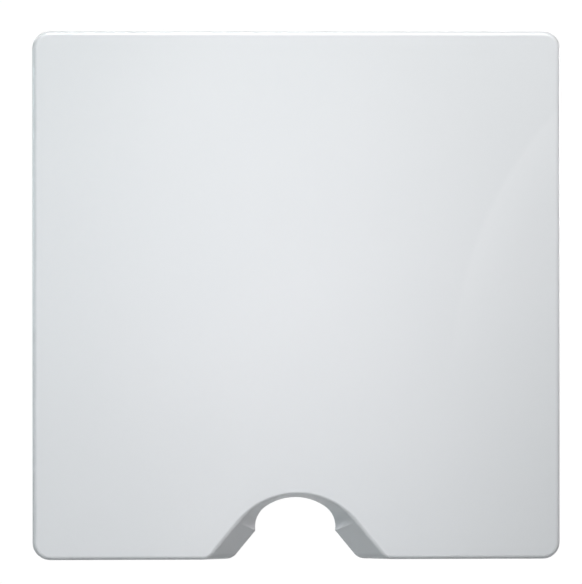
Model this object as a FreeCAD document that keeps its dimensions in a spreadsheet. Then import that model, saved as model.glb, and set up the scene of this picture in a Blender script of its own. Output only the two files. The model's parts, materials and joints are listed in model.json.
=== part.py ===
import FreeCAD, Part
import os, math, re
from FreeCAD import Vector, Placement, Rotation
import Sketcher

# Hinged door leaf with a finger notch, on a surround frame that is screwed to a wall.
# Frame of reference: +X right, +Y into the wall, +Z up.
# Origin: centre of the surround frame's back plane, which is the centre of its four fixing holes.

doc = FreeCAD.newDocument("NotchedDoor")

# ---------------------------------------------------------------- driving dimensions (mm, degrees)
sheet = doc.addObject("Spreadsheet::Sheet", "dims")
DIMS = [
    # door leaf
    ("door_width", 250.0), ("door_height", 250.0), ("door_corner", 8.0),
    ("front_depth", 16.0), ("face_wall", 2.5), ("flange_wall", 2.2), ("flange_gap", 7.0),
    ("edge_round", 2.0), ("inner_round", 6.0),
    ("rib_rise", 0.9), ("rib_wall", 1.6),
    # finger notch: outer outline on the front face, inner outline on the lip behind
    ("notch_front_top", 31.1), ("notch_front_radius", 36.8), ("notch_front_split", 28.0),
    ("notch_slope", 50.5), ("notch_flare_front", 9.0), ("notch_edge_round", 1.0),
    ("notch_back_top", 29.2), ("notch_back_radius", 24.7), ("notch_back_side", 11.5),
    ("notch_back_mid_x", 7.43), ("notch_back_mid_z", 15.41),
    ("notch_kink_x", 18.95), ("notch_kink_z", 13.4), ("notch_flare_back", 6.5),
    ("notch_wall", 2.2), ("lip_gap", 3.5),
    # surround frame
    ("frame_half_x", 107.5), ("frame_half_z", 118.0), ("frame_depth", 12.0),
    ("bar_width", 14.0), ("frame_wall", 2.0), ("frame_corner", 5.0), ("frame_edge", 0.8),
    ("arch_drop", 2.6), ("arch_inner", 38.3), ("arch_bar", 11.0),
    ("hole_x", 100.5), ("hole_z", 111.0), ("hole_radius", 2.25), ("cbore_radius", 4.4),
    ("cbore_depth", 4.0), ("boss_radius", 6.4),
    # hinge
    ("axis_x", 119.0), ("axis_y", 9.8), ("lug_radius", 3.4), ("lug_low", 108.0), ("lug_high", 116.0),
    ("arm_front", 12.8), ("arm_back", 8.2),
    ("pin_radius", 1.5), ("bush_bore", 1.55), ("bush_radius", 2.4), ("lug_bore", 2.45),
    ("bush_flange", 3.3), ("bush_flange_low", 107.2),
    ("block_half", 3.5), ("block_low", 70.0), ("block_high", 107.0),
    ("chamber_low", 74.0), ("chamber_high", 103.0), ("chamber_half", 2.7),
    ("pin_low", 68.5), ("pin_high", 115.5), ("pin_tip", 0.5),
    ("pad_in", 109.8), ("pad_front", 10.8), ("pad_back", 8.6), ("pad_height", 33.0),
    ("screw_x", 112.8), ("screw_low", 75.0), ("screw_high", 102.0),
    ("spring_radius", 2.05), ("spring_wire", 0.3), ("spring_turns", 9.0),
    ("tab_height", 6.0), ("tab_back", 4.3), ("tab_radius", 2.3),
    # magnetic catch
    ("seat_half", 23.0), ("seat_low", 90.0), ("seat_high", 74.0),
    ("catch_mid", 83.5), ("catch_half", 14.8), ("catch_half_z", 3.8), ("ear_half", 19.3),
    ("ear_half_z", 4.4), ("ear_wall", 1.4), ("catch_back", 3.5),
    ("pole_half", 10.0), ("pole_wall", 1.0), ("pole_front", 12.4), ("pole_back", 5.2),
    ("magnet_half_z", 1.8), ("catch_screw_x", 17.0),
    ("strike_half", 14.0), ("strike_half_z", 4.5), ("strike_wall", 0.8), ("rivet_x", 11.8),
    # stops
    ("stop_x", 100.5), ("stop_z", 52.0), ("stop_radius", 4.0), ("stop_gap", 0.3),
]
for row, (word, number) in enumerate(DIMS, start=1):
    sheet.set("A%d" % row, word.replace("_", " "))
    sheet.set("B%d" % row, repr(number))
    sheet.setAlias("B%d" % row, word)
doc.recompute()
WORDS = set(w for w, _ in DIMS)


def val(word):
    return float(getattr(sheet, word))


def ex(text):
    """Turn 'door_width/2' into an expression on the sheet."""
    return re.sub(r"[a-z]+(?:_[a-z]+)*", lambda g: "dims." + g.group(0) if g.group(0) in WORDS else g.group(0),
                  str(text))


def V(x, y, z):
    return Vector(x, y, z)


# ---------------------------------------------------------------- small builders, all bound to the sheet
def at(obj, x, y, z):
    obj.setExpression(".Placement.Base.x", ex(x))
    obj.setExpression(".Placement.Base.y", ex(y))
    obj.setExpression(".Placement.Base.z", ex(z))


def box(name, x0, x1, y0, y1, z0, z1):
    o = doc.addObject("Part::Box", name)
    at(o, x0, y0, z0)
    o.setExpression("Length", "(%s)-(%s)" % (ex(x1), ex(x0)))
    o.setExpression("Width", "(%s)-(%s)" % (ex(y1), ex(y0)))
    o.setExpression("Height", "(%s)-(%s)" % (ex(z1), ex(z0)))
    return o


def rod_y(name, x, z, y0, y1, r):
    o = doc.addObject("Part::Cylinder", name)
    o.Placement = Placement(V(0, 0, 0), Rotation(V(1, 0, 0), -90))
    at(o, x, y0, z)
    o.setExpression("Radius", ex(r))
    o.setExpression("Height", "(%s)-(%s)" % (ex(y1), ex(y0)))
    return o


def rod_z(name, x, y, z0, z1, r):
    o = doc.addObject("Part::Cylinder", name)
    at(o, x, y, z0)
    o.setExpression("Radius", ex(r))
    o.setExpression("Height", "(%s)-(%s)" % (ex(z1), ex(z0)))
    return o


def cone_y(name, x, z, y0, y1, r0, r1):
    o = doc.addObject("Part::Cone", name)
    o.Placement = Placement(V(0, 0, 0), Rotation(V(1, 0, 0), -90))
    at(o, x, y0, z)
    o.setExpression("Radius1", ex(r0))
    o.setExpression("Radius2", ex(r1))
    o.setExpression("Height", "(%s)-(%s)" % (ex(y1), ex(y0)))
    return o


def fuse(name, shapes):
    o = doc.addObject("Part::MultiFuse", name)
    o.Shapes = shapes
    return o


def cut(name, base, tool):
    o = doc.addObject("Part::Cut", name)
    o.Base = base
    o.Tool = tool
    return o


def common(name, a, b):
    o = doc.addObject("Part::MultiCommon", name)
    o.Shapes = [a, b]
    return o


def group(name, shapes):
    """Several separate solids of one kind, kept apart in one sub-part."""
    o = doc.addObject("Part::Compound", name)
    o.Links = shapes
    return o


def edge_fillet(name, base, radius_word, test):
    """Part::Fillet on the edges that pass the test."""
    doc.recompute()
    o = doc.addObject("Part::Fillet", name)
    o.Base = base
    r = val(radius_word) if isinstance(radius_word, str) else radius_word
    o.Edges = [(i + 1, r, r) for i, e in enumerate(base.Shape.Edges) if test(e)]
    return o


def along(e, axis):
    if len(e.Vertexes) != 2:
        return False
    d = e.Vertexes[1].Point - e.Vertexes[0].Point
    if d.Length < 1e-6:
        return False
    return abs(abs(d.normalize().dot(axis)) - 1.0) < 1e-6


AX, AY, AZ = V(1, 0, 0), V(0, 1, 0), V(0, 0, 1)


# ---------------------------------------------------------------- sketches for the door shell
def plane_of(body, role):
    return [f for f in body.Origin.OriginFeatures if f.Role == role][0]


def round_rect_sketch(body, name, offset, w, h, r):
    """Rounded rectangle on the XZ plane, centred on the origin. offset: distance in front of the wall plane."""
    sk = body.newObject("Sketcher::SketchObject", name)
    sk.AttachmentSupport = [(plane_of(body, "XZ_Plane"), "")]
    sk.MapMode = "FlatFace"
    sk.setExpression(".AttachmentOffset.Base.z", ex(offset[0]))
    a, b, rr = offset[1] / 2.0, offset[2] / 2.0, offset[3]
    z = V(0, 0, 1)

    def arc(cx, cz, a0, a1):
        return Part.ArcOfCircle(Part.Circle(V(cx, cz, 0), z, rr), math.radians(a0), math.radians(a1))

    geo = [Part.LineSegment(V(-a + rr, -b, 0), V(a - rr, -b, 0)), arc(a - rr, -b + rr, -90, 0),
           Part.LineSegment(V(a, -b + rr, 0), V(a, b - rr, 0)), arc(a - rr, b - rr, 0, 90),
           Part.LineSegment(V(a - rr, b, 0), V(-a + rr, b, 0)), arc(-a + rr, b - rr, 90, 180),
           Part.LineSegment(V(-a, b - rr, 0), V(-a, -b + rr, 0)), arc(-a + rr, -b + rr, 180, 270)]
    sk.addGeometry(geo, False)
    C = Sketcher.Constraint
    for i in range(8):
        sk.addConstraint(C("Tangent", i, 2, (i + 1) % 8, 1))
    sk.addConstraint([C("Horizontal", 0), C("Vertical", 2), C("Horizontal", 4), C("Vertical", 6),
                      C("Equal", 1, 3), C("Equal", 1, 5), C("Equal", 1, 7),
                      C("Symmetric", 0, 1, 4, 1, -1, 1)])
    for label, con, text in (("corner", C("Radius", 1, rr), r),
                             ("width", C("DistanceX", 6, 1, 2, 1, 2 * a), w),
                             ("height", C("DistanceY", 0, 1, 4, 1, 2 * b), h)):
        k = sk.addConstraint(con)
        sk.renameConstraint(k, label)
        sk.setExpression("Constraints." + label, ex(text))
    return sk


# ================================================================ DOOR LEAF
shell = doc.addObject("PartDesign::Body", "leaf_shell")
sk_out = round_rect_sketch(shell, "leaf_outline",
                           ("front_depth", val("door_width"), val("door_height"), val("door_corner")),
                           "door_width", "door_height", "door_corner")
pad = shell.newObject("PartDesign::Pad", "leaf_block")
pad.Profile = sk_out
pad.setExpression("Length", ex("front_depth - flange_gap"))
pad.Reversed = True
doc.recompute()


def at_front(e):
    return all(abs(v.Point.y + val("front_depth")) < 1e-6 for v in e.Vertexes)


roll = shell.newObject("PartDesign::Fillet", "front_edge_roll")
roll.Base = (pad, ["Edge%d" % (i + 1) for i, e in enumerate(pad.Shape.Edges) if at_front(e)])
roll.setExpression("Radius", ex("edge_round"))
doc.recompute()
sk_in = round_rect_sketch(shell, "leaf_hollow_outline",
                          ("front_depth - face_wall", val("door_width") - 2 * val("flange_wall"),
                           val("door_height") - 2 * val("flange_wall"), val("inner_round")),
                          "door_width - 2*flange_wall", "door_height - 2*flange_wall", "inner_round")
hollow = shell.newObject("PartDesign::Pocket", "leaf_hollow")
hollow.Profile = sk_in
hollow.setExpression("Length", ex("front_depth - face_wall - flange_gap + 2"))
doc.recompute()
if hollow.Shape.Volume > 0.6 * roll.Shape.Volume:
    hollow.Reversed = not hollow.Reversed
    doc.recompute()


# finger notch: two outlines joined by ruled walls
def outline(t, grow, closed_drop, flare):
    """Outline of the notch between the front face (t=0) and the back lip (t=1).
    grow: how far outside the notch surface. flare: radius that rounds the foot, or 0.
    Heights are measured from the leaf's bottom edge. Returns the wire's edges in the XZ plane."""
    H = val("door_height") / 2.0
    y = -(val("front_depth") + t * (val("lip_gap") - val("front_depth")))
    slope = math.radians(val("notch_slope"))
    dirx, dirz = math.cos(slope), -math.sin(slope)          # down and outwards
    nx, nz = math.sin(slope), math.cos(slope)               # out of the notch, into the leaf

    def mix(a, b):
        return a + (b - a) * t

    # top arc, side arc and straight side of each outline
    fr = val("notch_front_radius")
    fz = val("notch_front_top") - fr
    bz = val("notch_back_top") - val("notch_back_radius")
    top_r = mix(fr, val("notch_back_radius"))
    top_z = mix(fz, bz)
    side_x = mix(0.0, val("notch_back_mid_x"))
    side_z = mix(fz, val("notch_back_mid_z"))
    side_r = mix(fr, val("notch_back_side"))
    knee_x = mix(fr * math.sin(slope), val("notch_kink_x"))
    knee_z = mix(fz + fr * math.cos(slope), val("notch_kink_z"))
    split_b = math.atan2(val("notch_back_mid_x"), val("notch_back_mid_z") - bz)
    split = mix(math.radians(val("notch_front_split")), split_b)
    top_r += grow
    side_r += grow
    p0 = (knee_x + grow * nx, knee_z + grow * nz)
    # where the side arc meets the straight side
    ux, uz = p0[0] - side_x, p0[1] - side_z
    bq = ux * dirx + uz * dirz
    cq = ux * ux + uz * uz - side_r * side_r
    s = -bq + math.sqrt(max(bq * bq - cq, 0.0))
    if grow == 0.0:
        s = 0.0
    knee = (p0[0] + s * dirx, p0[1] + s * dirz)
    join = (top_r * math.sin(split), top_z + top_r * math.cos(split))
    # midpoint of the side arc
    def ang(p):
        return math.atan2(p[0] - side_x, p[1] - side_z)
    am = 0.5 * (ang(join) + ang(knee))
    rm = 0.5 * (math.hypot(join[0] - side_x, join[1] - side_z) + math.hypot(knee[0] - side_x, knee[1] - side_z))
    smid = (side_x + rm * math.sin(am), side_z + rm * math.cos(am))
    # foot of the straight side on the bottom edge
    k = knee[1] / -dirz
    foot = (knee[0] + k * dirx, 0.0)

    def P(p, side=1):
        return V(side * p[0], y, p[1] - H)

    right = []
    if flare > 0:
        tl = flare / math.tan(math.radians(180.0 - val("notch_slope")) / 2.0)
        a = (foot[0] - tl * dirx, foot[1] - tl * dirz)
        b = (foot[0] + tl, 0.0)
        c = (b[0], flare)
        # the arc's middle lies on the line from its centre to the corner
        dx, dz = foot[0] - c[0], foot[1] - c[1]
        d = math.hypot(dx, dz)
        m = (c[0] + dx / d * flare, c[1] + dz / d * flare)
        right = [("arc", b, m, a), ("line", a, knee)]
        low = b
    else:
        right = [("line", foot, knee)]
        low = foot
    right.append(("arc", knee, smid, join))
    edges = []
    for seg in right:
        if seg[0] == "arc":
            edges.append(Part.Arc(P(seg[1]), P(seg[2]), P(seg[3])).toShape())
        else:
            edges.append(Part.LineSegment(P(seg[1]), P(seg[2])).toShape())
    edges.append(Part.Arc(P(join), P((0.0, top_z + top_r)), P(join, -1)).toShape())
    for seg in reversed(right):
        if seg[0] == "arc":
            edges.append(Part.Arc(P(seg[3], -1), P(seg[2], -1), P(seg[1], -1)).toShape())
        else:
            edges.append(Part.LineSegment(P(seg[2], -1), P(seg[1], -1)).toShape())
    drop = (low[0], -closed_drop)
    if closed_drop > 0:
        edges.append(Part.LineSegment(P(low, -1), P(drop, -1)).toShape())
        edges.append(Part.LineSegment(P(drop, -1), P(drop)).toShape())
        edges.append(Part.LineSegment(P(drop), P(low)).toShape())
    else:
        edges.append(Part.LineSegment(P(low, -1), P(low)).toShape())
    return edges


def section(name, t, grow, drop, flare):
    o = doc.addObject("Part::Feature", name)
    o.Shape = Part.Wire(outline(t, grow, drop, flare))
    return o


def loft(name, *parts):
    o = doc.addObject("Part::Loft", name)
    o.Sections = list(parts)
    o.Solid = True
    o.Ruled = True
    return o


depth = val("front_depth") - val("lip_gap")
t_in = 2.0 / depth                                   # wall starts inside the face's thickness
wall_block = loft("notch_wall_block", section("wall_front_outline", t_in, val("notch_wall"), 0.0, 0.0),
                  section("wall_back_outline", 1.0, val("notch_wall"), 0.0, 0.0))
# the cutter's first steps roll the front edge of the notch over
edge = val("notch_edge_round")
front, back = val("notch_flare_front"), val("notch_flare_back")
steps = [(0.0, 1.0), (0.12, 0.62), (0.40, 0.22), (0.95, 0.0)]
rolled = [section("notch_edge_%d" % i, d * edge / depth, g * edge, 1.0, front + (back - front) * d * edge / depth)
          for i, (d, g) in enumerate(steps)]
notch_cut = loft("notch_cutter", *(rolled + [section("notch_back_outline", 1.0, 0.0, 1.0, back)]))

# shallow ribs on the inside, screw bosses for the hinge blocks
inner = "-(front_depth - face_wall)"
ribs = []
for i, zz in enumerate((-60.0, 0.0, 60.0)):
    ribs.append(box("rib_across_%d" % i, "-(door_width/2 - 30)", "door_width/2 - 30", inner + " - 0.2",
                    inner + " + rib_rise", "%g - rib_wall/2" % zz, "%g + rib_wall/2" % zz))
for i, xx in enumerate((-45.0, 45.0)):
    ribs.append(box("rib_up_%d" % i, "%g - rib_wall/2" % xx, "%g + rib_wall/2" % xx, inner + " - 0.2",
                    inner + " + rib_rise", "-(door_height/2 - 58)", "door_height/2 - 30"))
bosses, boss_holes = [], []
for s, tag in ((1, "up"), (-1, "dn")):
    for j, zz in enumerate(("screw_low", "screw_high")):
        zt = "%d*%s" % (s, zz)
        bosses.append(rod_y("hinge_boss_%s_%d" % (tag, j), "-screw_x", zt, inner + " - 0.2", "-pad_front", "2.6"))
        boss_holes.append(rod_y("hinge_boss_hole_%s_%d" % (tag, j), "-screw_x", zt, "-14.3", "-pad_front + 1",
                                "1.15"))
stakes = [rod_y("rivet_hole_%d" % i, "%d*rivet_x" % s, "-catch_mid", "-14.3", "-13", "1.05")
          for i, s in enumerate((-1, 1))]
leaf_solid = fuse("leaf_solid", [shell, wall_block] + ribs + bosses)
leaf_tools = fuse("leaf_tools", [notch_cut] + boss_holes + stakes)
door_panel = cut("door_panel", leaf_solid, leaf_tools)

# ================================================================ SURROUND FRAME
blank = box("frame_blank", "-frame_half_x", "frame_half_x", "-frame_depth", "0", "-frame_half_z", "frame_half_z")
blank_r = edge_fillet("frame_blank_rounded", blank, "frame_corner", lambda e: along(e, AY))
win = box("frame_window", "-(frame_half_x - bar_width)", "frame_half_x - bar_width", "-frame_depth - 1", "1",
          "-(frame_half_z - bar_width)", "frame_half_z - bar_width")
win_r = edge_fillet("frame_window_rounded", win, 4.0, lambda e: along(e, AY))
arch_z = "-(door_height/2 + arch_drop)"
arch_rod = rod_y("arch_bar_rod", "0", arch_z, "-frame_depth", "0", "arch_inner + arch_bar")
arch_clip = box("arch_clip", "-70", "70", "-frame_depth", "0", "-frame_half_z", "0")
arch_bar = common("arch_bar_solid", arch_rod, arch_clip)
ring = cut("frame_ring", blank_r, win_r)
seat = box("catch_seat", "-seat_half", "seat_half", "-frame_depth", "0", "-seat_low", "-seat_high")
full = fuse("frame_full", [ring, arch_bar, seat])
arch_gap = rod_y("arch_gap", "0", arch_z, "-frame_depth - 1", "1", "arch_inner")
solid_frame = cut("frame_with_arch", full, arch_gap)

# channel from behind: every bar becomes a U with equal walls
g_out = box("channel_outer", "-(frame_half_x - frame_wall)", "frame_half_x - frame_wall",
            "-frame_depth + frame_wall", "1", "-(frame_half_z - frame_wall)", "frame_half_z - frame_wall")
g_out_r = edge_fillet("channel_outer_rounded", g_out, 3.0, lambda e: along(e, AY))
g_in = box("channel_inner", "-(frame_half_x - bar_width + frame_wall)", "frame_half_x - bar_width + frame_wall",
           "-frame_depth - 1", "2", "-(frame_half_z - bar_width + frame_wall)",
           "frame_half_z - bar_width + frame_wall")
g_in_r = edge_fillet("channel_inner_rounded", g_in, 5.0, lambda e: along(e, AY))
g_ring = cut("channel_ring", g_out_r, g_in_r)
g_arch_rod = rod_y("channel_arch_rod", "0", arch_z, "-frame_depth + frame_wall", "1",
                   "arch_inner + arch_bar - frame_wall")
g_clip = box("channel_arch_clip", "-70", "70", "-frame_depth + frame_wall", "1", "-(frame_half_z - frame_wall)", "0")
g_arch = common("channel_arch", g_arch_rod, g_clip)
g_seat = box("channel_seat", "-(seat_half - frame_wall)", "seat_half - frame_wall", "-frame_depth + frame_wall", "1",
             "-(seat_low - frame_wall)", "-(seat_high + frame_wall)")
g_all = fuse("channel_all", [g_ring, g_arch, g_seat])
g_keep = rod_y("channel_arch_keep", "0", arch_z, "-frame_depth - 1", "2", "arch_inner + frame_wall")
channel = cut("channel_solid", g_all, g_keep)
u_plain = cut("frame_channelled", solid_frame, channel)
doc.recompute()
u_frame = edge_fillet("frame_front_edges", u_plain, "frame_edge",
                      lambda e: all(abs(v.Point.y + val("frame_depth")) < 1e-6 for v in e.Vertexes)
                      and abs(e.valueAt((e.FirstParameter + e.LastParameter) / 2).y + val("frame_depth")) < 1e-6)

adds = []
holes = []
for sx in (-1, 1):
    for sz in (-1, 1):
        tag = "%s%s" % ("l" if sx < 0 else "r", "b" if sz < 0 else "t")
        adds.append(rod_y("fixing_boss_" + tag, "%d*hole_x" % sx, "%d*hole_z" % sz, "-frame_depth", "0",
                          "boss_radius"))
        holes.append(rod_y("fixing_hole_" + tag, "%d*hole_x" % sx, "%d*hole_z" % sz, "-frame_depth - 1", "1",
                           "hole_radius"))
        holes.append(rod_y("fixing_cbore_" + tag, "%d*hole_x" % sx, "%d*hole_z" % sz, "-frame_depth - 1",
                           "-frame_depth + cbore_depth", "cbore_radius"))
        za = "lug_low" if sz > 0 else "-lug_high"
        zb = "lug_high" if sz > 0 else "-lug_low"
        adds.append(rod_z("lug_" + tag, "%d*axis_x" % sx, "-axis_y", za, zb, "lug_radius"))
        if sx < 0:
            adds.append(box("lug_arm_" + tag, "-axis_x", "-(frame_half_x - 4)", "-arm_front", "-arm_back", za, zb))
        else:
            adds.append(box("lug_arm_" + tag, "frame_half_x - 4", "axis_x", "-arm_front", "-arm_back", za, zb))
        holes.append(rod_z("lug_bore_" + tag, "%d*axis_x" % sx, "-axis_y", za + " - 1", zb + " + 1", "lug_bore"))
        # pads of the stops sit in shallow pockets
        holes.append(rod_y("stop_hole_" + tag, "%d*stop_x" % sx, "%d*stop_z" % sz, "-frame_depth - 1",
                           "-frame_depth + frame_wall + 1", "1.6"))
# catch: block behind the web with a pocket for the housing and two screw holes
adds.append(box("catch_block", "-(ear_half + 1.2)", "ear_half + 1.2", "-frame_depth", "-2",
                "-(catch_mid + ear_half_z + 1.2)", "-(catch_mid - ear_half_z - 1.2)"))
holes.append(box("catch_pocket", "-(catch_half + 0.2)", "catch_half + 0.2", "-frame_depth - 1", "-(catch_back - 0.2)",
                 "-(catch_mid + catch_half_z + 0.2)", "-(catch_mid - catch_half_z - 0.2)"))
holes.append(box("catch_ear_recess", "-(ear_half + 0.2)", "ear_half + 0.2", "-frame_depth - 1",
                 "-frame_depth + ear_wall + 0.1", "-(catch_mid + ear_half_z + 0.2)",
                 "-(catch_mid - ear_half_z - 0.2)"))
for i, s in enumerate((-1, 1)):
    holes.append(rod_y("catch_screw_hole_%d" % i, "%d*catch_screw_x" % s, "-catch_mid", "-11", "-4.5", "0.85"))
frame_more = fuse("frame_more", [u_frame] + adds)
frame_holes = fuse("frame_holes", holes)
surround_frame = cut("surround_frame", frame_more, frame_holes)


# ================================================================ HINGE BUSHES AND SPARE PLUGS
def bush(name, s):
    z0, z1 = ("bush_flange_low", "lug_high") if s > 0 else ("-lug_high", "-bush_flange_low")
    tube = rod_z(name + "_tube", "-axis_x", "-axis_y", z0, z1, "bush_radius")
    f0, f1 = ("bush_flange_low", "lug_low") if s > 0 else ("-lug_low", "-bush_flange_low")
    rim = rod_z(name + "_rim", "-axis_x", "-axis_y", f0, f1, "bush_flange")
    bore = rod_z(name + "_bore", "-axis_x", "-axis_y", z0 + " - 2", z1 + " + 2", "bush_bore")
    return cut(name, fuse(name + "_solid", [tube, rim]), bore)


hinge_bush_upper = bush("hinge_bush_upper", 1)
hinge_bush_lower = bush("hinge_bush_lower", -1)

plugs = []
for i, s in enumerate((1, -1)):
    z0, z1 = ("lug_low + 2", "lug_high") if s > 0 else ("-lug_high", "-(lug_low + 2)")
    stem = rod_z("plug_stem_%d" % i, "axis_x", "-axis_y", z0, z1, "bush_radius")
    c0, c1 = ("lug_high", "lug_high + 0.9") if s > 0 else ("-lug_high - 0.9", "-lug_high")
    cap = rod_z("plug_cap_%d" % i, "axis_x", "-axis_y", c0, c1, "lug_radius")
    plugs.append(fuse("plug_%d" % i, [stem, cap]))
spare_pivot_plugs = group("spare_pivot_plugs", plugs)


# ================================================================ HINGE BLOCKS, PINS, SPRINGS, TABS
def zspan(s, lo, hi):
    """Mirror a z range for the lower hinge."""
    return (lo, hi) if s > 0 else ("-(%s)" % hi, "-(%s)" % lo)


def hinge_block(name, s):
    z0, z1 = zspan(s, "block_low", "block_high")
    body_box = box(name + "_body", "-(axis_x + block_half)", "-(axis_x - block_half)",
                   "-(axis_y + block_half)", "-(axis_y - block_half)", z0, z1)
    body_r = edge_fillet(name + "_body_rounded", body_box, 1.0, lambda e: along(e, AZ))
    p0, p1 = zspan(s, "block_low + 2", "block_high - 2")
    plate = box(name + "_plate", "-(axis_x - block_half + 1)", "-pad_in", "-pad_front", "-pad_back", p0, p1)
    plate_r = edge_fillet(name + "_plate_rounded", plate, 1.5,
                          lambda e: along(e, AY) and e.Vertexes[0].Point.x > -val("pad_in") - 0.01)
    c0, c1 = zspan(s, "chamber_low", "chamber_high")
    chamber = box(name + "_chamber", "-(axis_x + chamber_half)", "-(axis_x - chamber_half)",
                  "-(axis_y + chamber_half)", "-(axis_y - block_half - 1)", c0, c1)
    bore = rod_z(name + "_bore", "-axis_x", "-axis_y", z0 + " - 1", z1 + " + 1", "bush_bore")
    tools = [chamber, bore]
    for j, zz in enumerate(("screw_low", "screw_high")):
        tools.append(rod_y("%s_screw_hole_%d" % (name, j), "-screw_x", "%d*%s" % (s, zz), "-pad_front - 1",
                           "-pad_back + 1", "1.4"))
    return cut(name, fuse(name + "_solid", [body_r, plate_r]), fuse(name + "_tools", tools))


def hinge_pin(name, s):
    body = doc.addObject("PartDesign::Body", name)
    sk = body.newObject("Sketcher::SketchObject", name + "_profile")
    sk.AttachmentSupport = [(plane_of(body, "XZ_Plane"), "")]
    sk.MapMode = "FlatFace"
    r, tip = val("pin_radius"), val("pin_tip")
    lo, hi = (val("pin_low"), val("pin_high")) if s > 0 else (-val("pin_high"), -val("pin_low"))
    pts = [(0, lo), (r - tip, lo), (r, lo + tip), (r, hi - tip), (r - tip, hi), (0, hi)]
    n = len(pts)
    sk.addGeometry([Part.LineSegment(V(pts[i][0], pts[i][1], 0), V(pts[(i + 1) % n][0], pts[(i + 1) % n][1], 0))
                    for i in range(n)], False)
    C = Sketcher.Constraint
    for i in range(n):
        sk.addConstraint(C("Coincident", i, 2, (i + 1) % n, 1))
    sk.addConstraint([C("Horizontal", 0), C("Vertical", 2), C("Horizontal", 4), C("PointOnObject", 0, 1, -2),
                      C("PointOnObject", 5, 1, -2)])
    # addGeometry: 0 bottom, 1 lower chamfer, 2 side, 3 upper chamfer, 4 top, 5 centre line
    lo_t, hi_t = ("pin_low", "pin_high") if s > 0 else ("-pin_high", "-pin_low")
    for label, con, text in (("radius", C("DistanceX", -1, 1, 2, 1, r), "pin_radius"),
                             ("low_end", C("DistanceY", -1, 1, 0, 1, lo), lo_t),
                             ("high_end", C("DistanceY", -1, 1, 5, 1, hi), hi_t),
                             ("tip_low_in", C("DistanceX", -1, 1, 1, 1, r - tip), "pin_radius - pin_tip"),
                             ("tip_low_up", C("DistanceY", 1, 1, 1, 2, tip), "pin_tip"),
                             ("tip_high_in", C("DistanceX", -1, 1, 4, 1, r - tip), "pin_radius - pin_tip"),
                             ("tip_high_up", C("DistanceY", 3, 1, 3, 2, tip), "pin_tip")):
        k = sk.addConstraint(con)
        sk.renameConstraint(k, label)
        sk.setExpression("Constraints." + label, ex(text))
    rev = body.newObject("PartDesign::Revolution", name + "_turned")
    rev.Profile = sk
    rev.ReferenceAxis = (sk, ["V_Axis"])
    rev.Angle = 360.0
    at(body, "-axis_x", "-axis_y", "0")
    return body


def pin_tab(name, s):
    # when out, the tab rests against the chamber's outer end wall
    z0, z1 = zspan(s, "chamber_high - tab_height", "chamber_high - 0.05")
    hub = rod_z(name + "_hub", "-axis_x", "-axis_y", z0, z1, "tab_radius")
    grip = box(name + "_grip", "-(axis_x + 1.9)", "-(axis_x - 1.9)", "-axis_y + 1.2", "-tab_back", z0, z1)
    grip_r = edge_fillet(name + "_grip_rounded", grip, 0.6,
                         lambda e: e.Vertexes[0].Point.y > -val("tab_back") - 0.01
                         and e.Vertexes[-1].Point.y > -val("tab_back") - 0.01)
    bore = rod_z(name + "_bore", "-axis_x", "-axis_y", z0 + " - 1", z1 + " + 1", "pin_radius")
    grooves = []
    for j in range(3):
        zc = "(%s + %s)/2 + %g" % (z0, z1, (j - 1) * 1.5)
        grooves.append(box("%s_groove_%d" % (name, j), "-(axis_x + 3)", "-(axis_x - 3)", "-tab_back - 0.4",
                           "-tab_back + 1", zc + " - 0.3", zc + " + 0.3"))
    return cut(name, fuse(name + "_solid", [hub, grip_r]), fuse(name + "_tools", [bore] + grooves))


def pin_spring(name, s):
    """Compression spring round the pin, between the chamber's inner end and the tab. Closed, flat end coils."""
    lo, hi = val("chamber_low"), val("chamber_high") - val("tab_height")
    R, w = val("spring_radius"), val("spring_wire")
    length = hi - lo - 2 * w - 0.02
    helix = Part.makeHelix(length / val("spring_turns"), length, R)
    # eight-sided wire with the same section area as round wire
    k = w * math.sqrt(math.pi / (8 * math.sin(math.pi / 4) / 2))
    pts = [V(R + k * math.cos(math.pi / 4 * i), 0, k * math.sin(math.pi / 4 * i)) for i in range(8)]
    ring = Part.makePolygon(pts + pts[:1])
    tube = Part.Wire(helix.Edges).makePipeShell([ring], True, True)
    o = doc.addObject("Part::Feature", name)
    o.Shape = tube
    base = lo + w + 0.01 if s > 0 else -hi + w + 0.01
    o.Placement = Placement(V(-val("axis_x"), -val("axis_y"), base), Rotation())
    return o


def hinge_screws(name, s):
    out = []
    for j, zz in enumerate(("screw_low", "screw_high")):
        zt = "%d*%s" % (s, zz)
        head = rod_y("%s_head_%d" % (name, j), "-screw_x", zt, "-pad_back", "-pad_back + 1.5", "2.3")
        head_r = edge_fillet("%s_head_round_%d" % (name, j), head, 0.6,
                             lambda e: all(abs(v.Point.y + val("pad_back") - 1.5) < 1e-6 for v in e.Vertexes)
                             and len(e.Vertexes) == 1)
        shank = rod_y("%s_shank_%d" % (name, j), "-screw_x", zt, "-14.2", "-pad_back + 0.2", "1.1")
        solid = fuse("%s_solid_%d" % (name, j), [head_r, shank])
        sl_a = box("%s_slot_a_%d" % (name, j), "-screw_x - 1.3", "-screw_x + 1.3", "-pad_back + 0.7",
                   "-pad_back + 3", zt + " - 0.25", zt + " + 0.25")
        sl_b = box("%s_slot_b_%d" % (name, j), "-screw_x - 0.25", "-screw_x + 0.25", "-pad_back + 0.7",
                   "-pad_back + 3", zt + " - 1.3", zt + " + 1.3")
        out.append(cut("%s_%d" % (name, j), solid, fuse("%s_slots_%d" % (name, j), [sl_a, sl_b])))
    return group(name, out)


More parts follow.
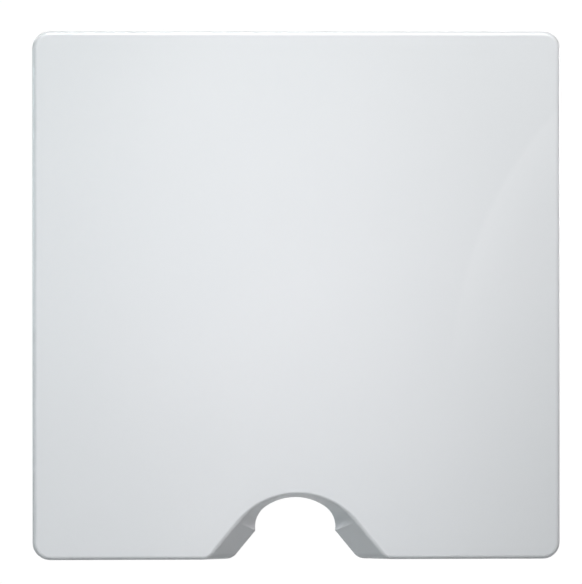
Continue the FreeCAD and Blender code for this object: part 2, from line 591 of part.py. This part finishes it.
parts = {}
for s, tag in ((1, "upper"), (-1, "lower")):
    parts["hinge_block_" + tag] = hinge_block("hinge_block_" + tag, s)
    parts["hinge_pin_" + tag] = hinge_pin("hinge_pin_" + tag, s)
    parts["pin_tab_" + tag] = pin_tab("pin_tab_" + tag, s)
    parts["pin_spring_" + tag] = pin_spring("pin_spring_" + tag, s)
    parts["hinge_screws_" + tag] = hinge_screws("hinge_screws_" + tag, s)

# ================================================================ MAGNETIC CATCH
ears = box("catch_ears", "-ear_half", "ear_half", "-frame_depth", "-frame_depth + ear_wall",
           "-(catch_mid + ear_half_z)", "-(catch_mid - ear_half_z)")
ears_r = edge_fillet("catch_ears_rounded", ears, 1.5, lambda e: along(e, AY))
core = box("catch_core", "-catch_half", "catch_half", "-frame_depth", "-catch_back", "-(catch_mid + catch_half_z)",
           "-(catch_mid - catch_half_z)")
mag_room = box("catch_room", "-(pole_half + 0.1)", "pole_half + 0.1", "-frame_depth - 1", "-(pole_back - 0.1)",
               "-(catch_mid + magnet_half_z + pole_wall + 0.2)", "-(catch_mid - magnet_half_z - pole_wall - 0.2)")
ear_tools = [mag_room]
for i, s in enumerate((-1, 1)):
    ear_tools.append(rod_y("ear_hole_%d" % i, "%d*catch_screw_x" % s, "-catch_mid", "-frame_depth - 1",
                           "-frame_depth + 3", "1.15"))
    ear_tools.append(cone_y("ear_sink_%d" % i, "%d*catch_screw_x" % s, "-catch_mid", "-frame_depth",
                            "-frame_depth + 1", "2.05", "1.05"))
catch_housing = cut("catch_housing", fuse("catch_housing_solid", [ears_r, core]), fuse("ear_tools", ear_tools))

magnet_box = box("magnet_block", "-pole_half", "pole_half", "-frame_depth + 0.2", "-pole_back",
                 "-(catch_mid + magnet_half_z)", "-(catch_mid - magnet_half_z)")
catch_magnet = edge_fillet("catch_magnet", magnet_box, 0.3, lambda e: along(e, AY))

plates = []
for i, s in enumerate((-1, 1)):
    z0, z1 = zspan(s, "magnet_half_z + 0.05", "magnet_half_z + 0.05 + pole_wall")
    raw = box("pole_raw_%d" % i, "-pole_half", "pole_half", "-pole_front", "-pole_back", "-catch_mid + " + z0,
              "-catch_mid + " + z1)
    plates.append(edge_fillet("pole_%d" % i, raw, 0.3, lambda e: along(e, AX)))
catch_pole_plates = group("catch_pole_plates", plates)

scr = []
for i, s in enumerate((-1, 1)):
    head = cone_y("catch_screw_head_%d" % i, "%d*catch_screw_x" % s, "-catch_mid", "-frame_depth + 0.05",
                  "-frame_depth + 1", "1.95", "0.95")
    shank = rod_y("catch_screw_shank_%d" % i, "%d*catch_screw_x" % s, "-catch_mid", "-frame_depth + 0.9", "-5", "0.8")
    slot = box("catch_screw_slot_%d" % i, "%d*catch_screw_x - 1.2" % s, "%d*catch_screw_x + 1.2" % s,
               "-frame_depth - 1", "-frame_depth + 0.5", "-catch_mid - 0.2", "-catch_mid + 0.2")
    scr.append(cut("catch_screw_%d" % i, fuse("catch_screw_solid_%d" % i, [head, shank]), slot))
catch_screws = group("catch_screws", scr)

# strike plate and its rivets on the leaf
sp = box("strike_blank", "-strike_half", "strike_half", "-(front_depth - face_wall)",
         "-(front_depth - face_wall) + strike_wall", "-(catch_mid + strike_half_z)", "-(catch_mid - strike_half_z)")
sp_r = edge_fillet("strike_rounded", sp, 1.5, lambda e: along(e, AY))
sp_holes = fuse("strike_holes", [rod_y("strike_hole_%d" % i, "%d*rivet_x" % s, "-catch_mid", "-14", "-12", "1.1")
                                 for i, s in enumerate((-1, 1))])
strike_plate = cut("strike_plate", sp_r, sp_holes)
rv = []
for i, s in enumerate((-1, 1)):
    stem = rod_y("rivet_stem_%d" % i, "%d*rivet_x" % s, "-catch_mid", "-14.3", "-12.65", "1")
    top = rod_y("rivet_head_%d" % i, "%d*rivet_x" % s, "-catch_mid",
                "-(front_depth - face_wall) + strike_wall", "-(front_depth - face_wall) + strike_wall + 0.35",
                "1.8")
    rv.append(fuse("rivet_%d" % i, [stem, top]))
strike_rivets = group("strike_rivets", rv)

# ================================================================ RUBBER STOPS
pads = []
for i, (sx, sz) in enumerate(((-1, -1), (-1, 1), (1, -1), (1, 1))):
    disc = rod_y("stop_disc_%d" % i, "%d*stop_x" % sx, "%d*stop_z" % sz,
                 "-(front_depth - face_wall) + stop_gap", "-frame_depth", "stop_radius")
    disc_r = edge_fillet("stop_disc_round_%d" % i, disc, 0.4,
                         lambda e: len(e.Vertexes) == 1 and
                         abs(e.Vertexes[0].Point.y + val("front_depth") - val("face_wall") - val("stop_gap")) < 1e-6)
    stem = rod_y("stop_stem_%d" % i, "%d*stop_x" % sx, "%d*stop_z" % sz, "-frame_depth - 0.1",
                 "-frame_depth + frame_wall + 0.8", "1.5")
    pads.append(fuse("stop_%d" % i, [disc_r, stem]))
bumper_pads = group("bumper_pads", pads)

# ================================================================ CHECK AND WRITE
parts.update({
    "door_panel": door_panel, "surround_frame": surround_frame,
    "hinge_bush_upper": hinge_bush_upper, "hinge_bush_lower": hinge_bush_lower,
    "spare_pivot_plugs": spare_pivot_plugs, "catch_housing": catch_housing, "catch_magnet": catch_magnet,
    "catch_pole_plates": catch_pole_plates, "catch_screws": catch_screws, "strike_plate": strike_plate,
    "strike_rivets": strike_rivets, "bumper_pads": bumper_pads,
})
doc.recompute()
bad = []
for o in doc.Objects:
    st = [str(x) for x in o.State]
    if "Invalid" in st or "Error" in st:
        bad.append("%s %s" % (o.Name, st))
for name, o in parts.items():
    o.Label = name
    if o.Shape.isNull() or not o.Shape.isValid():
        bad.append("%s has no valid shape" % name)
    elif not o.Shape.Solids:
        bad.append("%s has no solid" % name)
if bad:
    raise RuntimeError("failed objects: " + "; ".join(bad))

os.makedirs("parts", exist_ok=True)
for old in os.listdir("parts"):
    if old.endswith(".step"):
        os.remove(os.path.join("parts", old))
total = 0.0
for name in sorted(parts):
    shp = parts[name].Shape
    total += shp.Volume
    bb = shp.BoundBox
    print("%-22s solids %d vol %9.1f  x %7.2f..%7.2f  y %6.2f..%6.2f  z %7.2f..%7.2f" % (
        name, len(shp.Solids), shp.Volume, bb.XMin, bb.XMax, bb.YMin, bb.YMax, bb.ZMin, bb.ZMax))
    shp.exportStep("parts/%s.step" % name)
print("pieces %d, volume %.1f cm3" % (len(parts), total / 1000.0))
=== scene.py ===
import json
import math
import random

import bmesh
import bpy
from mathutils import Matrix, Vector


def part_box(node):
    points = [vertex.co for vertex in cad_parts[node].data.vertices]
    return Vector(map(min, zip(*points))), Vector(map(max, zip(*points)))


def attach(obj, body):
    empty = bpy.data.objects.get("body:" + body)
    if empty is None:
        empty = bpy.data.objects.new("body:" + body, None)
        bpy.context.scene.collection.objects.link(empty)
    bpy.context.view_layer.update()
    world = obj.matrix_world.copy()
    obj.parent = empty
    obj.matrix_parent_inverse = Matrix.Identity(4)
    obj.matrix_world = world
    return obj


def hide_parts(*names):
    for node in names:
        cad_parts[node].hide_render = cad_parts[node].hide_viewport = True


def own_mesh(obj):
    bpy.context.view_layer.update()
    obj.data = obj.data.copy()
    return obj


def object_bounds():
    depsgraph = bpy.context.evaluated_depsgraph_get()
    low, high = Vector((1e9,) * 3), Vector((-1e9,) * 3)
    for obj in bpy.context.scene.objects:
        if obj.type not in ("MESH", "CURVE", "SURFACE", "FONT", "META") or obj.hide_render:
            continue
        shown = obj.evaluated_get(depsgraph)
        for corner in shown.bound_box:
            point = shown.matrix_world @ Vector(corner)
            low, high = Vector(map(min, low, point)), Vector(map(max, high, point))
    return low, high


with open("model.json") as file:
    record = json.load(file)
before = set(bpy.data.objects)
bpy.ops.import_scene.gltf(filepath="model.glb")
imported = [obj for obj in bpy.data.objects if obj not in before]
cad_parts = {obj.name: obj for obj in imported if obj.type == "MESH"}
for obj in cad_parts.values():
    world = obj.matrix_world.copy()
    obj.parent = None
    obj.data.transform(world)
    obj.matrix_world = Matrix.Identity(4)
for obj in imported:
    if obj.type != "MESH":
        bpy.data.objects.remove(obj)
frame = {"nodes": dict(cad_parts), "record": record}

cad_lo, cad_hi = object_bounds()
NODES = frame["nodes"]
scene = bpy.context.scene
random.seed(7)


# ---------------------------------------------------------------- node helpers
class Graph:
    """A small wrapper for a material's node tree."""

    def __init__(self, name):
        self.mat = bpy.data.materials.new(name)
        self.mat.use_nodes = True
        self.t = self.mat.node_tree
        self.t.nodes.clear()
        self.out = self.t.nodes.new("ShaderNodeOutputMaterial")
        self.bsdf = self.t.nodes.new("ShaderNodeBsdfPrincipled")
        self.t.links.new(self.bsdf.outputs[0], self.out.inputs["Surface"])
        self.coord = self.t.nodes.new("ShaderNodeTexCoord").outputs["Object"]
        self.height = []

    def new(self, kind, **props):
        n = self.t.nodes.new(kind)
        for k, v in props.items():
            setattr(n, k, v)
        return n

    def link(self, a, b):
        self.t.links.new(a, b)

    def put(self, socket, value):
        """A constant on the shader's own socket."""
        self.bsdf.inputs[socket].default_value = value

    def mapped(self, scale=(1, 1, 1), rot=(0, 0, 0)):
        m = self.new("ShaderNodeMapping")
        m.inputs["Scale"].default_value = scale
        m.inputs["Rotation"].default_value = rot
        self.link(self.coord, m.inputs["Vector"])
        return m.outputs[0]

    def noise(self, scale, detail=3.0, rough=0.55, distort=0.0, vec=None):
        n = self.new("ShaderNodeTexNoise")
        n.inputs["Scale"].default_value = scale
        n.inputs["Detail"].default_value = detail
        n.inputs["Roughness"].default_value = rough
        n.inputs["Distortion"].default_value = distort
        self.link(vec if vec is not None else self.coord, n.inputs["Vector"])
        return n.outputs["Fac"]

    def voronoi(self, scale, feature="F1", vec=None):
        n = self.new("ShaderNodeTexVoronoi", feature=feature)
        n.inputs["Scale"].default_value = scale
        self.link(vec if vec is not None else self.coord, n.inputs["Vector"])
        return n.outputs["Distance"]

    def span(self, fac, lo, hi, f0=0.0, f1=1.0, smooth=False):
        """Map fac from f0..f1 to lo..hi."""
        m = self.new("ShaderNodeMapRange")
        if smooth:
            m.interpolation_type = "SMOOTHSTEP"
        m.inputs["From Min"].default_value = f0
        m.inputs["From Max"].default_value = f1
        m.inputs["To Min"].default_value = lo
        m.inputs["To Max"].default_value = hi
        self.link(fac, m.inputs["Value"])
        return m.outputs["Result"]

    def math(self, op, a, b):
        m = self.new("ShaderNodeMath", operation=op)
        for i, v in enumerate((a, b)):
            if isinstance(v, (int, float)):
                m.inputs[i].default_value = v
            else:
                self.link(v, m.inputs[i])
        return m.outputs[0]

    def mix(self, fac, a, b):
        m = self.new("ShaderNodeMix", data_type="RGBA")
        self.link(fac, m.inputs[0])
        for i, v in ((6, a), (7, b)):
            if isinstance(v, (tuple, list)):
                m.inputs[i].default_value = (*v, 1.0) if len(v) == 3 else v
            else:
                self.link(v, m.inputs[i])
        return m.outputs[2]

    def color(self, out):
        self.link(out, self.bsdf.inputs["Base Color"])

    def rough(self, out):
        self.link(out, self.bsdf.inputs["Roughness"])

    def bump(self, fac, strength, distance):
        """Add one layer of bump; layers stack."""
        b = self.new("ShaderNodeBump")
        b.inputs["Strength"].default_value = strength
        b.inputs["Distance"].default_value = distance
        self.link(fac, b.inputs["Height"])
        if self.height:
            self.link(self.height[-1], b.inputs["Normal"])
        self.height.append(b.outputs["Normal"])

    def done(self):
        if self.height:
            self.link(self.height[-1], self.bsdf.inputs["Normal"])
        return self.mat


# ---------------------------------------------------------------- materials
def leaf_white():
    """The leaf: injection-moulded ABS with a soft gloss, nearly even colour, very fine orange peel."""
    g = Graph("leaf_white")
    wide = g.noise(7.0, 2.0, 0.5)
    fine = g.noise(260.0, 3.0, 0.6)
    tone = g.mix(g.span(wide, 0.0, 1.0, 0.32, 0.68), (0.790, 0.775, 0.802), (0.815, 0.794, 0.820))
    tone = g.mix(g.span(fine, 0.0, 0.5, 0.35, 0.65), tone, (0.805, 0.786, 0.811))
    # painted reflection: a faint light arc is painted into the base colour over the right of the face, a shade
    # lighter on its inner side
    sep = g.new("ShaderNodeSeparateXYZ")
    g.link(g.coord, sep.inputs[0])
    x, y, z = sep.outputs
    dx, dz = g.math("SUBTRACT", x, 0.2618), g.math("SUBTRACT", z, -0.0398)
    away = g.math("SQRT", g.math("ADD", g.math("MULTIPLY", dx, dx), g.math("MULTIPLY", dz, dz)), 0.0)
    away = g.math("SUBTRACT", away, 0.1886)
    painted_reflection_arc = g.math("MULTIPLY", g.span(away, 1.0, 0.0, -0.0022, 0.0016, True), g.span(away, 0.0, 1.0, -0.022, -0.002))
    painted_reflection_arc = g.math("MULTIPLY", painted_reflection_arc, g.span(z, 0.0, 0.75, -0.050, 0.040, True))
    painted_reflection_arc = g.math("MULTIPLY", painted_reflection_arc, g.span(y, 1.0, 0.0, -0.0159, -0.0152))
    # the lighter arc colour mixed in here is a painted reflection, not a moulded mark
    tone = g.mix(painted_reflection_arc, tone, (0.835, 0.814, 0.840))
    g.color(tone)
    g.rough(g.span(g.noise(34.0, 4.0, 0.6), 0.36, 0.44, 0.3, 0.7))
    g.put("Specular IOR Level", 0.5)
    g.put("Coat Weight", 0.35)
    g.put("Coat Roughness", 0.16)
    g.put("Subsurface Weight", 0.0)
    g.bump(g.noise(11.0, 1.0, 0.4), 0.25, 0.0006)          # slow sink of a moulded wall
    g.bump(g.noise(1500.0, 2.0, 0.5), 0.10, 0.00003)       # orange peel
    g.bump(g.noise(5200.0, 2.0, 0.6), 0.12, 0.00001)       # micro texture
    return g.done()


def moulded(name, base, rough=0.55, grain=3400.0, grain_depth=0.00003, vary=0.03, spec=0.45):
    """Matt moulded plastic with a fine spark-eroded grain and slight handling marks."""
    g = Graph(name)
    lo = tuple(max(0.0, c * (1 - vary)) for c in base)
    hi = tuple(min(1.0, c * (1 + vary)) for c in base)
    tone = g.mix(g.span(g.noise(22.0, 4.0, 0.6), 0.0, 1.0, 0.3, 0.7), lo, hi)
    speck = g.span(g.noise(900.0, 2.0, 0.6), 0.0, 0.35, 0.58, 0.74)
    tone = g.mix(speck, tone, tuple(c * 0.86 for c in base))
    g.color(tone)
    g.rough(g.span(g.noise(60.0, 4.0, 0.65), rough - 0.07, rough + 0.07, 0.3, 0.7))
    g.put("Specular IOR Level", spec)
    g.bump(g.noise(grain, 3.0, 0.65), 0.35, grain_depth)
    g.bump(g.noise(14.0, 1.0, 0.4), 0.2, 0.0004)
    return g.done()


def steel(name, base, rough=0.28, streak=(40, 40, 2600), dull=0.25, metallic=1.0):
    """Plated or ground steel: drawn streaks, cloudy plating and a few darker rub marks."""
    g = Graph(name)
    vec = g.mapped(scale=streak)
    lines = g.noise(1.0, 4.0, 0.65, 0.0, vec)
    cloud = g.noise(240.0, 4.0, 0.6)
    tone = g.mix(g.span(cloud, 0.0, 1.0, 0.3, 0.7), tuple(c * (1 - dull) for c in base), base)
    tone = g.mix(g.span(lines, 0.0, 0.45, 0.45, 0.75), tone, tuple(min(1.0, c * 1.18) for c in base))
    g.color(tone)
    g.put("Metallic", metallic)
    g.rough(g.math("ADD", g.span(lines, rough - 0.06, rough + 0.08, 0.3, 0.7), g.span(cloud, -0.03, 0.07, 0.3, 0.7)))
    g.bump(lines, 0.18, 0.00002)
    g.bump(g.noise(1500.0, 2.0, 0.5), 0.12, 0.00001)
    return g.done()


def rubber(name, base):
    """Soft black rubber with bloom and a pebbled skin."""
    g = Graph(name)
    bloom = g.noise(420.0, 4.0, 0.7)
    g.color(g.mix(g.span(bloom, 0.0, 1.0, 0.42, 0.72), base, tuple(c * 2.2 + 0.012 for c in base)))
    g.rough(g.span(bloom, 0.62, 0.85, 0.3, 0.7))
    g.put("Specular IOR Level", 0.35)
    g.bump(g.voronoi(2200.0), 0.25, 0.00004)
    g.bump(g.noise(6000.0, 2.0, 0.6), 0.25, 0.00002)
    return g.done()


def ferrite(name):
    """Sintered ferrite: dull dark grey with pits."""
    g = Graph(name)
    grain = g.noise(1800.0, 4.0, 0.7)
    g.color(g.mix(g.span(grain, 0.0, 1.0, 0.35, 0.7), (0.045, 0.045, 0.050), (0.105, 0.103, 0.105)))
    g.rough(g.span(grain, 0.50, 0.72, 0.3, 0.7))
    g.put("Metallic", 0.25)
    g.bump(g.voronoi(1500.0), 0.4, 0.00005)
    return g.done()


MATERIALS = {
    "leaf_white": leaf_white(),
    "frame_grey": moulded("frame_grey", (0.70, 0.715, 0.725), 0.50, 3200.0, 0.00003, 0.02),
    "bush_acetal": moulded("bush_acetal", (0.030, 0.031, 0.034), 0.34, 5200.0, 0.00001, 0.12, 0.5),
    "plug_grey": moulded("plug_grey", (0.60, 0.615, 0.625), 0.48, 3600.0, 0.00002, 0.03),
    "catch_grey": moulded("catch_grey", (0.30, 0.31, 0.32), 0.46, 3000.0, 0.00003, 0.05),
    "magnet_ferrite": ferrite("magnet_ferrite"),
    "pole_steel": steel("pole_steel", (0.56, 0.56, 0.57), 0.30, (900, 60, 60), 0.22),
    "screw_steel": steel("screw_steel", (0.60, 0.60, 0.585), 0.30, (400, 400, 400), 0.28),
    "stop_rubber": rubber("stop_rubber", (0.020, 0.020, 0.021)),
    "block_white": moulded("block_white", (0.73, 0.74, 0.75), 0.44, 3800.0, 0.00002, 0.02),
    "spring_steel": steel("spring_steel", (0.46, 0.46, 0.48), 0.24, (300, 300, 300), 0.3),
    "strike_steel": steel("strike_steel", (0.62, 0.62, 0.62), 0.32, (60, 60, 2400), 0.2),
    "rivet_aluminium": steel("rivet_aluminium", (0.74, 0.74, 0.75), 0.34, (500, 500, 500), 0.15),
    "pin_steel": steel("pin_steel", (0.66, 0.66, 0.67), 0.20, (60, 60, 1800), 0.14),
    "tab_grey": moulded("tab_grey", (0.145, 0.15, 0.158), 0.48, 3000.0, 0.00003, 0.06),
}
SLOT_OF = {s["node"]: s["material_slot"] for s in frame["record"]["subparts"]}
for name, ob in NODES.items():
    m = MATERIALS[SLOT_OF[name]]
    if not ob.data.materials:
        ob.data.materials.append(m)
    for i in range(len(ob.data.materials)):
        ob.data.materials[i] = m


# ---------------------------------------------------------------- springs: round wire, ground end coils
def spring(name, node, lo_z, hi_z, x, y, mean_r, wire_r, turns, up):
    """A compression spring with closed end coils, swept as one clean tube."""
    steps = int(turns * 40)
    path = []
    length = hi_z - lo_z - 2 * wire_r
    for i in range(steps + 1):
        f = i / steps
        # the end coils lie flat, the middle coils share the rest
        e = 0.11
        if f < e:
            zf = 0.0 + 0.035 * (f / e)
        elif f > 1 - e:
            zf = 1.0 - 0.035 * ((1 - f) / e)
        else:
            zf = 0.035 + 0.93 * (f - e) / (1 - 2 * e)
        a = 2 * math.pi * turns * f
        path.append(Vector((x + mean_r * math.cos(a), y + mean_r * math.sin(a), lo_z + wire_r + zf * length)))
    bm = bmesh.new()
    rings = []
    sides = 14
    for i, p in enumerate(path):
        t = (path[min(i + 1, steps)] - path[max(i - 1, 0)]).normalized()
        out = Vector((p.x - x, p.y - y, 0)).normalized()
        b = t.cross(out).normalized()
        out = b.cross(t).normalized()
        rings.append([bm.verts.new(p + wire_r * (math.cos(2 * math.pi * k / sides) * out
                                                 + math.sin(2 * math.pi * k / sides) * b)) for k in range(sides)])
    for r0, r1 in zip(rings, rings[1:]):
        for k in range(sides):
            f = bm.faces.new((r0[k], r0[(k + 1) % sides], r1[(k + 1) % sides], r1[k]))
            f.smooth = True
    bm.faces.new(list(reversed(rings[0])))
    bm.faces.new(rings[-1])
    bmesh.ops.recalc_face_normals(bm, faces=bm.faces)
    me = bpy.data.meshes.new(name)
    bm.to_mesh(me)
    bm.free()
    ob = bpy.data.objects.new(name, me)
    scene.collection.objects.link(ob)
    me.materials.append(MATERIALS["spring_steel"])
    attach(ob, "door")
    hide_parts(node)
    return ob


for tag, joint, s in (("upper", "pin_upper_slide", 1), ("lower", "pin_lower_slide", -1)):
    lo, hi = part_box("pin_spring_" + tag)
    px, py = (lo.x + hi.x) / 2, (lo.y + hi.y) / 2
    wire = 0.00028
    ob = spring("spring_coil_" + tag, "pin_spring_" + tag, lo.z, hi.z, px, py, 0.00205, wire, 11.0, s)
    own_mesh(ob)


# ---------------------------------------------------------------- floor, light and camera
def disc(name, z, radius):
    bm = bmesh.new()
    bmesh.ops.create_circle(bm, cap_ends=True, radius=radius, segments=160)
    me = bpy.data.meshes.new(name)
    bm.to_mesh(me)
    bm.free()
    ob = bpy.data.objects.new(name, me)
    ob.location.z = z
    scene.collection.objects.link(ob)
    return ob


floor = disc("floor", -0.45, 1.6)
fg = Graph("floor_pale")
fg.color(fg.mix(fg.span(fg.noise(3.0, 2.0, 0.5), 0.0, 1.0, 0.3, 0.7), (0.70, 0.71, 0.72), (0.73, 0.735, 0.74)))
fg.rough(fg.span(fg.noise(20.0, 3.0, 0.6), 0.7, 0.8, 0.3, 0.7))
floor.data.materials.append(fg.done())

world = bpy.data.worlds.new("studio")
scene.world = world
world.use_nodes = True
wt = world.node_tree
wt.nodes.clear()
w_out = wt.nodes.new("ShaderNodeOutputWorld")
w_mix = wt.nodes.new("ShaderNodeMixShader")
w_path = wt.nodes.new("ShaderNodeLightPath")
w_amb = wt.nodes.new("ShaderNodeBackground")
w_cam = wt.nodes.new("ShaderNodeBackground")
w_cam.inputs["Color"].default_value = (1, 1, 1, 1)
w_cam.inputs["Strength"].default_value = 1.02
w_tc = wt.nodes.new("ShaderNodeTexCoord")
w_sep = wt.nodes.new("ShaderNodeSeparateXYZ")
w_map = wt.nodes.new("ShaderNodeMapRange")
w_ramp = wt.nodes.new("ShaderNodeMix")
w_ramp.data_type = "RGBA"
w_ramp.inputs[6].default_value = (0.030, 0.031, 0.031, 1)      # in front of the leaf
w_ramp.inputs[7].default_value = (0.380, 0.390, 0.392, 1)      # pale backdrop behind it
wt.links.new(w_tc.outputs["Generated"], w_sep.inputs[0])
wt.links.new(w_sep.outputs["Y"], w_map.inputs["Value"])
w_map.inputs["From Min"].default_value = -0.15
w_map.inputs["From Max"].default_value = 0.55
wt.links.new(w_map.outputs["Result"], w_ramp.inputs[0])
wt.links.new(w_ramp.outputs[2], w_amb.inputs["Color"])
w_amb.inputs["Strength"].default_value = 1.0
wt.links.new(w_path.outputs["Is Camera Ray"], w_mix.inputs[0])
wt.links.new(w_amb.outputs[0], w_mix.inputs[1])
wt.links.new(w_cam.outputs[0], w_mix.inputs[2])
wt.links.new(w_mix.outputs[0], w_out.inputs["Surface"])


def area(name, at, aim, size, watts, colour=(1, 1, 1), size_y=None, shape="SQUARE"):
    li = bpy.data.lights.new(name, "AREA")
    li.shape = "RECTANGLE" if size_y else shape
    li.size = size
    if size_y:
        li.size_y = size_y
    li.energy = watts
    li.color = colour
    ob = bpy.data.objects.new(name, li)
    ob.location = at
    ob.rotation_mode = "QUATERNION"
    ob.rotation_quaternion = (Vector(aim) - Vector(at)).to_track_quat("-Z", "Y")
    ob.visible_camera = False
    scene.collection.objects.link(ob)
    return ob


def spot(name, at, aim, watts, degrees, blend=1.0, radius=0.2, colour=(1, 1, 1)):
    li = bpy.data.lights.new(name, "SPOT")
    li.energy = watts
    li.color = colour
    li.spot_size = math.radians(degrees)
    li.spot_blend = blend
    li.shadow_soft_size = radius
    ob = bpy.data.objects.new(name, li)
    ob.location = at
    ob.rotation_mode = "QUATERNION"
    ob.rotation_quaternion = (Vector(aim) - Vector(at)).to_track_quat("-Z", "Y")
    ob.visible_camera = False
    scene.collection.objects.link(ob)
    return ob


area("key", (0.05, -0.60, 0.70), (0.0, -0.016, 0.02), 0.55, 5.808, (0.93, 1.0, 0.97))
area("left_panel", (-0.80, -0.90, 0.35), (0.0, -0.016, 0.0), 0.50, 1.632, (0.76, 0.98, 1.0))
spot("low_left", (-0.20, -0.90, 0.70), (-0.10, -0.016, -0.12), 76.78, 14.0, 1.0, 0.20, (0.97, 0.98, 1.0))
spot("top_spot", (0.25, -1.10, 0.80), (0.06, -0.016, 0.10), 40.43, 16.0, 1.0, 0.20, (1.0, 0.96, 0.98))
spot("right_spot", (0.15, -0.90, 0.90), (0.125, -0.016, 0.06), 22.29, 12.0, 1.0, 0.20)
spot("back_spot", (-0.9, 1.6, 0.7), (0.0, 0.0, 0.0), 55.0, 13.0, 0.4, 0.30, (1.0, 0.995, 0.99))
spot("rim_left", (-0.92, 0.76, 0.10), (0.0, 0.0, 0.0), 17.0, 19.0, 0.4, 0.12, (0.80, 0.97, 1.0))
spot("rim_right", (0.92, 0.76, 0.10), (0.0, 0.0, 0.0), 18.0, 19.0, 0.4, 0.12)
spot("floor_behind", (0.0, 1.30, 2.0), (0.0, 1.30, -0.45), 120.0, 60.0, 0.9, 0.30)
spot("floor_front", (0.0, -1.60, 2.0), (0.0, -1.60, -0.45), 60.0, 62.0, 0.9, 0.30)

AZ, EL, DIST = math.radians(-4.5), math.radians(0.8), 5.0
back = Vector((math.sin(AZ) * math.cos(EL), -math.cos(AZ) * math.cos(EL), math.sin(EL)))
target = Vector((0.0, cad_lo.y, (cad_lo.z + cad_hi.z) / 2))
cam_data = bpy.data.cameras.new("camera")
cam_data.sensor_width = 36.0
cam_data.lens = 2.113 * DIST * 1000 * 36.0 / 584
cam_data.shift_x = -6.3 / 584
cam_data.shift_y = 3.55 / 584
cam_data.clip_start, cam_data.clip_end = 0.05, 50.0
cam = bpy.data.objects.new("camera", cam_data)
cam.location = target + back * DIST
cam.rotation_mode = "QUATERNION"
cam.rotation_quaternion = (-back).to_track_quat("-Z", "Y")
scene.collection.objects.link(cam)
scene.camera = cam

scene.view_settings.view_transform = "Standard"
scene.view_settings.look = "None"
scene.view_settings.exposure = 0.0
scene.view_settings.gamma = 1.0
